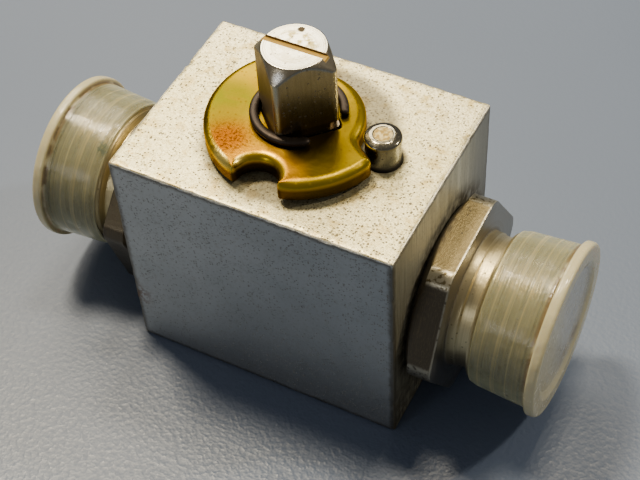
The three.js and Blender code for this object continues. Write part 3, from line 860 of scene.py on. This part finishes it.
def soft_min(a, b, blend=0.3):
    overlap = max(blend - abs(a - b), 0) / blend
    return min(a, b) - overlap * overlap * blend / 4


def flats(count, half, turn):
    """An outline of flat sides, each half mm from the axis, the first one facing the angle turn."""
    apart = 360 / count

    def outline(angle, height):
        off = (angle - turn + apart / 2) % apart - apart / 2
        return half / max(math.cos(math.radians(off)), 0.05)

    return outline


def ring_angles(corners=(), reach=6, fine=0.5, even=SEGMENTS):
    """Angles of a ring's points in degrees: even ones, with closer ones near each corner."""
    angles = {round(360 * i / even, 3) for i in range(even)}
    for corner in corners:
        near = int(reach / fine)
        angles |= {round((corner + fine * i) % 360, 3) for i in range(-near, near + 1)}
    spaced = []
    for angle in sorted(angles):
        if not spaced or angle - spaced[-1] > fine / 3:
            spaced.append(angle)
    return spaced


def along_z(height, across, up, place=(0, 0)):
    return Vector((place[0] + across, place[1] + up, height))


def at_pin(height, across, up):
    return along_z(height, across, up, PIN_PLACE)


def along_port(side):
    """Places a ring's point on the right or left port, with angle 0 level and 90 up."""
    sign = 1 if side == "right" else -1

    def place(height, across, up):
        return Vector((sign * height, sign * across, PORT_Z + up))

    return place


def turned(name, rows, place=along_z, angles=None):
    """Turns the rows round an axis. A shape without a row of radius 0 closes from last row to first."""
    angles = angles or ring_angles()
    count = len(angles)
    vertices, rings, faces = [], [], []
    for row in (Row(*values) for values in rows):
        first = len(vertices)
        if row.radius == 0:
            vertices.append(place(row.height, 0, 0))
            rings.append([first] * count)
            continue
        for angle in angles:
            radius = row.radius
            if row.outline:
                radius = soft_min(radius, row.outline(angle, row.height)) - row.inset
            turn = math.radians(angle)
            vertices.append(place(row.height, radius * math.cos(turn), radius * math.sin(turn)))
        rings.append(list(range(first, first + count)))
    pairs = list(zip(rings, rings[1:]))
    if len(set(rings[0])) > 1:
        pairs.append((rings[-1], rings[0]))
    for lower, upper in pairs:
        for i in range(count):
            j = (i + 1) % count
            distinct = list(dict.fromkeys((lower[i], lower[j], upper[j], upper[i])))
            if len(distinct) > 2:
                faces.append(distinct)
    return new_piece(name, vertices, faces)


def rounded(corners, steps=4):
    """Rounds each (radius, height, rounding) corner. A corner without a rounding stays sharp."""
    rows = []
    for i, corner in enumerate(corners):
        here = Vector(corner[:2])
        rounding = corner[2] if len(corner) > 2 else 0
        if not rounding:
            rows.append(tuple(here))
            continue
        back = Vector(corners[i - 1][:2]) - here
        ahead = Vector(corners[(i + 1) % len(corners)][:2]) - here
        opening = back.angle(ahead)
        trim = min(rounding / math.tan(opening / 2), back.length * 0.49, ahead.length * 0.49)
        start, end = here + back.normalized() * trim, here + ahead.normalized() * trim
        for step in range(steps + 1):
            t = step / steps
            rows.append(tuple(start.lerp(here, t).lerp(here.lerp(end, t), t)))
    return rows


def rod(radius, start, end):
    return [(0, start), (radius, start), (radius, end), (0, end)]


def flat_ring(inner, outer, start, end, rounding=0.1):
    corners = ((inner, start), (outer, start), (outer, end), (inner, end))
    return rounded([(radius, height, rounding) for radius, height in corners])


def torus(centre, section, height, sides=20):
    turns = [2 * math.pi * i / sides for i in range(sides)]
    return [(centre + section * math.cos(t), height + section * math.sin(t)) for t in turns]


def box_cutter(name, corner, opposite):
    bm = bmesh.new()
    bmesh.ops.create_cube(bm, size=1)
    a, b = Vector(corner) * MM, Vector(opposite) * MM
    for vertex in bm.verts:
        vertex.co = Vector(((a[i] + b[i]) / 2 + vertex.co[i] * abs(b[i] - a[i]) for i in range(3)))
    return add_to_scene(name, mesh_from(bm, name))


# ---------------------------------------------------------------- block
# Knocks in the edges, as (place, reach, depth).
NICKS = (
    ((-21.5, 5.8, 38.5), 0.8, 0.35),
    ((21.5, -16.0, 30.5), 0.9, 0.30),
    ((21.5, -16.0, 22.0), 0.7, 0.25),
    ((21.5, -16.0, 6.5), 1.1, 0.35),
    ((8.0, -16.0, 38.5), 0.7, 0.22),
    ((21.5, 9.0, 38.5), 0.8, 0.25),
)


def stations(start, end):
    """Stations across a block face, close together where its edges are rounded."""
    inner = (end - start) - 2 * BLOCK_EDGE
    count = round(inner / BLOCK_PITCH)
    near = [BLOCK_EDGE * share for share in (0, 0.3, 0.6)]
    across = [BLOCK_EDGE + inner * i / count for i in range(count + 1)]
    return [start + d for d in near] + [start + d for d in across] + [end - d for d in reversed(near)]


def worn_corner(point):
    """Moves a point of the sharp block onto its rounded, slightly worn surface."""
    inner = Vector(
        min(max(point[i], BLOCK_LOW[i] + BLOCK_EDGE), BLOCK_HIGH[i] - BLOCK_EDGE) for i in range(3)
    )
    outward = point - inner
    moved = inner + outward.normalized() * BLOCK_EDGE
    on_edge = sum(abs(c) > 0.3 * BLOCK_EDGE for c in outward) > 1
    if on_edge:
        wear = max(noise.noise(point * 0.55) + 0.35 * noise.noise(point * 2.1), 0)
        moved -= outward.normalized() * WEAR_DEPTH * wear
    for place, reach, depth in NICKS:
        nearness = 1 - (moved - Vector(place)).length / reach
        if nearness > 0:
            moved -= outward.normalized() * depth * nearness
    return moved


def block_shell():
    vertices, faces = [], []
    for axis in range(3):
        first, second = [i for i in range(3) if i != axis]
        across = stations(BLOCK_LOW[first], BLOCK_HIGH[first])
        along = stations(BLOCK_LOW[second], BLOCK_HIGH[second])
        for level in (BLOCK_LOW[axis], BLOCK_HIGH[axis]):
            start = len(vertices)
            for u in across:
                for v in along:
                    point = Vector((0, 0, 0))
                    point[axis], point[first], point[second] = level, u, v
                    vertices.append(worn_corner(point))
            for i in range(len(across) - 1):
                for j in range(len(along) - 1):
                    corner = start + i * len(along) + j
                    faces.append((corner, corner + 1, corner + len(along) + 1, corner + len(along)))
    return new_piece("body_block_fine", vertices, faces)


def make_block(material):
    over = 1  # how far the cutters reach out of the block
    end, top = BLOCK_HIGH.x + over, BLOCK_HIGH.z + over
    wide, start = THREAD_HOLE["radius"], THREAD_HOLE["start"]
    passage = turned("passage_cutter", [
        (0, -end), (wide, -end), (wide, -start), (CAVITY_RADIUS, -start),
        (CAVITY_RADIUS, start), (wide, start), (wide, end), (0, end),
    ], along_port("right"))
    bore, counter, ledge = STEM_BORE["radius"], STEM_BORE["counter_radius"], STEM_BORE["counter_top"]
    stem_hole = turned("stem_cutter", [
        (0, PORT_Z), (counter, PORT_Z), (counter, ledge), (bore, ledge), (bore, top), (0, top),
    ])
    hole, lead_in = PIN["radius"] + 0.1, 0.1
    bottom = low("stop_pin").z - 0.3
    pin_hole = turned("pin_cutter", [
        (0, bottom), (hole, bottom), (hole, BLOCK_HIGH.z - lead_in),
        (hole + lead_in, BLOCK_HIGH.z), (hole + lead_in, top), (0, top),
    ], at_pin)
    block = cut(block_shell(), passage, stem_hole, pin_hole)
    dress(block, material, "valve_body", "body_block")


# ---------------------------------------------------------------- ball, seats and seals
def make_ball(materials):
    rise = [math.radians(-90 + 180 * i / 60) for i in range(61)]
    radius = BALL["radius"]
    rows = [(max(radius * math.cos(t), 0), PORT_Z + radius * math.sin(t)) for t in rise]
    rows[0], rows[-1] = (0, PORT_Z - radius), (0, PORT_Z + radius)
    bore = turned("bore_cutter", rod(NOMINAL_BORE, -2 * radius, 2 * radius), along_port("right"))
    half = BALL["slot_width"] / 2
    floor_z = PORT_Z + BALL["slot_floor"]
    slot = box_cutter("slot_cutter", (-half, -2 * radius, floor_z), (half, 2 * radius, PORT_Z + 2 * radius))
    ball = cut(turned("ball_fine", rows), bore, slot)
    dress(ball, materials["ball"], "ball_body", "ball")


def make_seat(side, materials):
    """The seat's hollow face follows the ball, and its back is stepped to hold an O-ring."""
    face_radius = BALL["radius"] + SEAT["clearance"]
    inner, front = NOMINAL_BORE + SEAT["clearance"], SEAT["front"]
    start = math.sqrt(face_radius**2 - inner**2)
    steps = 10
    hollow = [start + (front - start) * i / steps for i in range(steps + 1)]
    rows = [(math.sqrt(face_radius**2 - x**2), x) for x in hollow]
    rows += rounded([
        (SEAT["outer"], front, 0.1),
        (SEAT["outer"], SEAT["step_at"]),
        (SEAT["step_radius"], SEAT["step_at"]),
        (SEAT["step_radius"], SEAT["back"], 0.1),
    ])
    rows.append((inner, SEAT["back"]))
    seat = turned(f"ball_seat_{side}_fine", rows, along_port(side))
    dress(seat, materials["seat"], "valve_body", f"ball_seat_{side}")
    for name, ring in PORT_SEALS.items():
        seal = turned(f"{name}_{side}_fine", torus(*ring), along_port(side))
        dress(seal, materials["seal"], "valve_body", f"{name}_{side}")


def make_stem_seals(materials):
    for name, ring in STEM_WASHERS.items():
        washer = turned(f"{name}_fine", flat_ring(*ring))
        dress(washer, materials["seat"], "stem_assembly", name)
    for name, ring in STEM_SEALS.items():
        seal = turned(f"{name}_fine", torus(*ring))
        dress(seal, materials["seal"], "stem_assembly", name)


# ---------------------------------------------------------------- end connector and dust cap
def thread_outline(angle, height):
    """Radius of a right-handed V thread, fading out into the neck."""
    turns = (height - THREAD["start"]) / THREAD["pitch"] - angle / 360
    off_crest = abs(turns % 1 - 0.5) * 2
    crest_flat, flank = 0.12, 0.76
    groove = 1 - min(max((off_crest - crest_flat) / flank, 0), 1)
    into = min(max((height - THREAD["start"]) / THREAD["run_out"], 0), 1)
    depth = THREAD["crest"] - THREAD["root"]
    return THREAD["crest"] - depth * (1 - groove) * into


def connector_rows(turn):
    """Rows from the inner end out: shank with its O-ring groove, hexagon, neck, thread and mouth."""
    inner_end, shank, groove_radius = CONNECTOR["inner_end"], CONNECTOR["shank"], CONNECTOR["groove_radius"]
    groove_start, groove_end = CONNECTOR["groove"]
    rows = [
        (NOMINAL_BORE, inner_end),
        (shank - 0.4, inner_end),
        (shank, inner_end + 0.4),
        (shank, groove_start),
        (groove_radius, groove_start),
        (groove_radius, groove_end),
        (shank, groove_end),
        (shank, HEX["start"]),
    ]

    hexagon = flats(6, HEX["half_flats"], 90 + turn)
    turned_radius, face_radius = HEX["turned"], HEX["face"]
    chamfer = (turned_radius - face_radius) * math.tan(math.radians(HEX["chamfer"]))
    steps = 10
    for share in (i / steps for i in range(steps + 1)):
        radius = face_radius + (turned_radius - face_radius) * share
        rows.append((radius, HEX["start"] + chamfer * share, hexagon))
    for height in (HEX["start"] + chamfer + 0.2, HEX["end"] - 1, HEX["end"] - 2 * EDGE):
        rows.append((turned_radius, height, hexagon))
    for degrees in (0, 30, 60, 90):
        roll = math.radians(degrees)
        height = HEX["end"] - EDGE * (1 - math.sin(roll))
        rows.append((turned_radius, height, hexagon, EDGE * (1 - math.cos(roll))))
    rows += rounded([
        (NECK["collar"] + 1, HEX["end"]),
        (NECK["collar"], HEX["end"], 0.35),
        (NECK["collar"], NECK["collar_end"], 0.12),
        (NECK["radius"], NECK["collar_end"] + 0.25, 0.12),
        (NECK["radius"], THREAD["start"] - 0.3),
    ])

    lead = THREAD["crest"] - THREAD["root"]
    spacing = THREAD["pitch"] / THREAD["rows"]
    count = int((MOUTH - lead - THREAD["start"]) / spacing)
    for i in range(count + 1):
        rows.append((THREAD["crest"], THREAD["start"] + spacing * i, thread_outline))
    for share in (0.33, 0.66, 1):
        rows.append((THREAD["crest"] - lead * share, MOUTH - lead * (1 - share), thread_outline))
    socket, floor_at = SOCKET["radius"], MOUTH - SOCKET["depth"]
    cone = (SOCKET["mouth"] - socket) / math.tan(math.radians(SOCKET["cone"]))
    return rows + rounded([
        (THREAD["root"] - 0.4, MOUTH),
        (SOCKET["mouth"], MOUTH, 0.15),
        (socket, MOUTH - cone, 0.3),
        (socket, floor_at, 0.1),
        (NOMINAL_BORE, floor_at, 0.1),
        (NOMINAL_BORE, floor_at - 2),
    ])


def make_connector(side, material):
    turn = HEX_TURN[side]
    corners = [turn + 60 * i for i in range(6)]
    angles = ring_angles(corners, reach=8)
    connector = turned(f"end_connector_{side}_fine", connector_rows(turn), along_port(side), angles)
    dress(connector, material, "valve_body", f"end_connector_{side}")


def make_cap(side):
    rim, end = CAP_RIM, CAP_END
    rows = rounded([
        (0, CAP["roof"]),
        (CAP["inner"], CAP["roof"], 0.3),
        (CAP["inner"], rim + 0.3, 0.3),
        (CAP["inner"] + 0.1, rim, 0.1),
        (CAP["rim"] - 0.3, rim, 0.25),
        (CAP["rim"], rim + 1.1, 1.2),
        (CAP["root"], CAP["flange"], 0.35),
        (CAP["flange_radius"], CAP["flange"], 0.4),
        (CAP["flange_radius"], end, 0.6),
        (CAP_DISH["radius"] + 0.6, end, 0.6),
        (CAP_DISH["radius"] - 0.6, CAP_DISH["face"], 0.8),
        (3, CAP_DISH["face"] + 0.05, 3),
        (0, CAP_DISH["face"] + 0.05),
    ], steps=6)
    cap = turned(f"dust_cap_{side}_fine", rows, along_port(side))
    dress(cap, cap_finish(side), f"{side}_cap", f"dust_cap_{side}", sharp=50)


# ---------------------------------------------------------------- stem, stop disc, ring and pin
def stem_rows():
    """Rows from the tang up: tang, collar, seal grooves, shoulder, square and crown."""
    square = flats(4, STEM["half_flats"], SQUARE_TURN)
    tang = flats(2, TANG["half_width"], 0)
    radius, crown_start = STEM["radius"], STEM["chamfer_start"] - 0.3
    rows = [
        (0, TANG["bottom"]),
        (TANG["radius"], TANG["bottom"], tang),
        (TANG["radius"], STEM_COLLAR["bottom"], tang),
    ]
    rows += rounded([
        (TANG["radius"] + 0.6, STEM_COLLAR["bottom"]),
        (STEM_COLLAR["radius"], STEM_COLLAR["bottom"], 0.2),
        (STEM_COLLAR["radius"], STEM_COLLAR["top"], 0.2),
        (radius, STEM_COLLAR["top"], 0.1),
    ])
    for bottom, top in SEAL_GROOVES:
        rows += rounded([
            (radius, bottom, 0.1),
            (SEAL_GROOVE_RADIUS, bottom, 0.2),
            (SEAL_GROOVE_RADIUS, top, 0.2),
            (radius, top, 0.1),
        ])
    rows.append((radius, STEM["shoulder"]))
    groove_bottom, groove_top = RING_GROOVE["bottom"], RING_GROOVE["top"]
    for height in (STEM["shoulder"], groove_bottom):
        rows.append((radius, height, square))
    for height in (groove_bottom, groove_top):
        rows.append((RING_GROOVE["radius"], height, square))
    for height in (groove_top, 46, 49, crown_start):
        rows.append((radius, height, square))
    crown = rounded([
        (radius, crown_start),
        (radius, STEM["chamfer_start"], 0.3),
        (STEM["top_radius"], STEM_TOP, 0.25),
        (0.5, STEM_TOP),
    ])
    chamfer_steps, long_step = 14, 0.5
    for (radius, height), (next_radius, next_height) in zip(crown, crown[1:]):
        steps = chamfer_steps if next_height - height > long_step else 1
        for share in ((i + 1) / steps for i in range(steps)):
            between = radius + (next_radius - radius) * share
            rows.append((between, height + (next_height - height) * share, square))
    return rows + [(0, STEM_TOP)]


def make_stem(material):
    stem = turned("stem_fine", stem_rows(), angles=ring_angles(range(0, 360, 90), reach=12))
    half, long = SLOT["half_width"], STEM["radius"] + 3
    slot = box_cutter("slot_cutter", (-long, -half, STEM_TOP - SLOT["depth"]), (long, half, STEM_TOP + 2))
    dress(cut(stem, slot), material, "stem_assembly", "stem")


def polar(radius, degrees, centre=(0, 0)):
    angle = math.radians(degrees)
    return Vector((centre[0] + radius * math.cos(angle), centre[1] + radius * math.sin(angle)))


def arc(radius, start, end, centre=(0, 0), step=2):
    count = max(2, round(abs(end - start) / step))
    return [polar(radius, start + (end - start) * i / count, centre) for i in range(count + 1)]


def resampled(points, pitch):
    """The closed outline through the points, with new points at an even pitch."""
    spaced, carried = [], 0.0
    for here, ahead in zip(points, points[1:] + points[:1]):
        length = (ahead - here).length
        while carried < length:
            spaced.append(here.lerp(ahead, carried / length))
            carried += pitch
        carried -= length
    return spaced


def smoothed(points, passes):
    for _ in range(passes):
        before, after = points[-1:] + points[:-1], points[1:] + points[:1]
        points = [(a + 2 * p + b) / 4 for a, p, b in zip(before, points, after)]
    return points


def outward_normals(points):
    normals = []
    for before, after in zip(points[-1:] + points[:-1], points[1:] + points[:1]):
        along = (after - before).normalized()
        normals.append(Vector((along.y, -along.x)))
    return normals


def room_inside(points, normals, most):
    """How far each point of an outline can move in, up to most, before it meets another of its parts."""
    rooms = []
    for point, normal in zip(points, normals):
        room = most
        for other in points:
            gap = other - point
            inward = -gap.dot(normal)
            if inward > 1e-4:
                room = min(room, gap.length_squared / (2 * inward))
        rooms.append(room)
    return smoothed(rooms, 4)


def disc_outline():
    """The disc from above: a round rim with a notch, and a quarter cut back between two shoulders."""
    radius, reach, notch = DISC_RADIUS, NOTCH["distance"], NOTCH["angle"]
    outer, inner = -SHOULDER["outer_angle"], -SHOULDER["inner_angle"]
    mirrored = 2 * PIN["angle"] + 90
    mouth = math.degrees(math.acos((radius**2 + reach**2 - NOTCH["radius"] ** 2) / (2 * radius * reach)))
    lip = polar(radius, mouth) - Vector((reach, 0))
    spread = math.degrees(math.atan2(lip.y, lip.x))
    points = arc(radius, mirrored - outer, notch - mouth + 360)
    points += arc(NOTCH["radius"], notch - spread, notch + spread - 360, polar(reach, notch), 6)
    points += arc(radius, notch + mouth, outer)
    points.append(polar(SHOULDER["inner_radius"], inner))
    points += arc(DISC_FREE_RADIUS, inner / 2, mirrored - inner / 2)
    points.append(polar(SHOULDER["inner_radius"], mirrored - inner))
    return smoothed(resampled(points, 0.2), 14)


def square_outline(half, round_radius):
    limit = flats(4, half, SQUARE_TURN)
    return [polar(soft_min(round_radius, limit(a, 0)), a) for a in ring_angles(range(0, 360, 90), 12)]


def disc_profile():
    """The disc's edge from foot to top. A row is a share of the roll, a distance in, and a height."""
    foot, roll_down, past_roll = 0.2, 0.95, 1.08
    profile = [(0, foot + 0.1, DISC_BOTTOM), (0, foot, DISC_BOTTOM)]
    for degrees in (30, 60, 90):
        turn = math.radians(degrees)
        profile.append((0, foot * (1 - math.sin(turn)), DISC_BOTTOM + foot * (1 - math.cos(turn))))
    for i in range(9):
        turn = math.radians(90 * i / 8)
        profile.append((1 - math.cos(turn), 0, DISC_TOP - roll_down * (1 - math.sin(turn))))
    return profile + [(past_roll, 0, DISC_TOP)]


def make_disc(material):
    """A pressed disc: rolled over at the top of its edge, with a square hole."""
    outline = disc_outline()
    normals = outward_normals(outline)
    roll_in, used = 1.3, 0.8  # the roll takes up that share of the room there is
    rolls = [room * used for room in room_inside(outline, normals, roll_in / used)]
    bm = bmesh.new()

    def ring(points, height):
        return [bm.verts.new((p.x * MM, p.y * MM, height * MM)) for p in points]

    def join(rings):
        for lower, upper in zip(rings, rings[1:]):
            for i in range(len(lower)):
                j = (i + 1) % len(lower)
                bm.faces.new((lower[i], lower[j], upper[j], upper[i]))

    edge = []
    for share, distance, height in disc_profile():
        moved = [p - n * (share * roll + distance) for p, n, roll in zip(outline, normals, rolls)]
        edge.append(ring(moved, height))
    clearance, bevel = 0.15, 0.15
    half, round_radius = STEM["half_flats"] + clearance, STEM["radius"] + 2 * clearance
    hole = []
    for grow, height in (
        (bevel, DISC_TOP), (0, DISC_TOP - bevel), (0, DISC_BOTTOM + bevel), (bevel, DISC_BOTTOM),
    ):
        hole.append(ring(square_outline(half + grow, round_radius + grow), height))
    join(edge)
    join(hole)
    for loops in ((edge[-1], hole[0]), (edge[0], hole[-1])):
        rims = [bm.edges.get((loop[i - 1], loop[i])) for loop in loops for i in range(len(loop))]
        bmesh.ops.triangle_fill(bm, edges=rims, use_beauty=True, use_dissolve=False)
    bmesh.ops.recalc_face_normals(bm, faces=bm.faces)
    disc = add_to_scene("stop_disc_fine", mesh_from(bm, "stop_disc_fine"))
    dress(disc, material, "stem_assembly", "stop_disc")


def make_ring(material):
    """An open wire ring with rounded ends and a slightly squared section."""
    sides, steps, end_length, squareness = 20, 120, 0.7, 0.8
    start, end = RING["open_to"], RING["open_from"] + 360
    height = (RING_TOP + RING_BOTTOM) / 2
    half_height = (RING_TOP - RING_BOTTOM) / 2
    length = math.radians(end - start) * RING["middle"]
    near = [end_length * share for share in (0.02, 0.08, 0.2, 0.4, 0.7, 1)]
    distances = near + [end_length + (length - 2 * end_length) * i / steps for i in range(1, steps)]
    distances += [length - d for d in reversed(near)]

    def squared(value):
        return math.copysign(abs(value) ** squareness, value)

    vertices, faces = [], []
    for distance in distances:
        from_tip = min(distance, length - distance, end_length) / end_length
        fullness = math.sqrt(1 - (1 - from_tip) ** 2)
        angle = start + math.degrees(distance / RING["middle"])
        for i in range(sides):
            turn = 2 * math.pi * i / sides
            across = RING["half_width"] * fullness * squared(math.cos(turn))
            up = half_height * fullness * squared(math.sin(turn))
            flat = polar(RING["middle"] + across, angle)
            vertices.append(Vector((flat.x, flat.y, height + up)))
    last = (len(distances) - 1) * sides
    for a in range(0, last, sides):
        b = a + sides
        for i in range(sides):
            j = (i + 1) % sides
            faces.append((a + i, a + j, b + j, b + i))
    faces.append(tuple(range(sides)))
    faces.append(tuple(range(last, last + sides)))
    wire = new_piece("retaining_ring_fine", vertices, faces)
    dress(wire, material, "stem_assembly", "retaining_ring", sharp=70)


def make_pin(material):
    bottom, top = low("stop_pin").z, high("stop_pin").z
    radius, neck, head, crown = PIN["radius"], PIN["neck"], PIN["head"], PIN["crown"]
    rows = rounded([
        (0, bottom),
        (radius - 0.3, bottom),
        (neck, bottom + 0.3),
        (neck, head - 0.1, 0.05),
        (radius, head, 0.06),
        (radius, top - 0.35, 0.9),
        (crown + 0.35, top - 0.02, 0.8),
        (crown, top, 0.05),
        (crown - 0.15, top - 0.07, 0.05),
        (0.3, top - 0.05),
        (0, top - 0.05),
    ], steps=6)
    pin = turned("stop_pin_fine", rows, at_pin)
    dress(pin, material, "valve_body", "stop_pin")


# ---------------------------------------------------------------- the whole scene
make_camera()
make_lights()
make_floor()

materials = {"ball": ball_finish(), "seat": seat_finish(), "seal": seal_finish()}
connector_steel = connector_finish()
make_block(block_finish())
make_ball(materials)
make_stem(stem_finish())
make_stem_seals(materials)
make_disc(disc_finish())
make_ring(ring_finish())
make_pin(pin_finish())
for side in ("right", "left"):
    make_seat(side, materials)
    make_connector(side, connector_steel)
    make_cap(side)

sizes = {"cad": cad_bounds, "visual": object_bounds()}
{name: [list(corner) for corner in box] for name, box in sizes.items()}
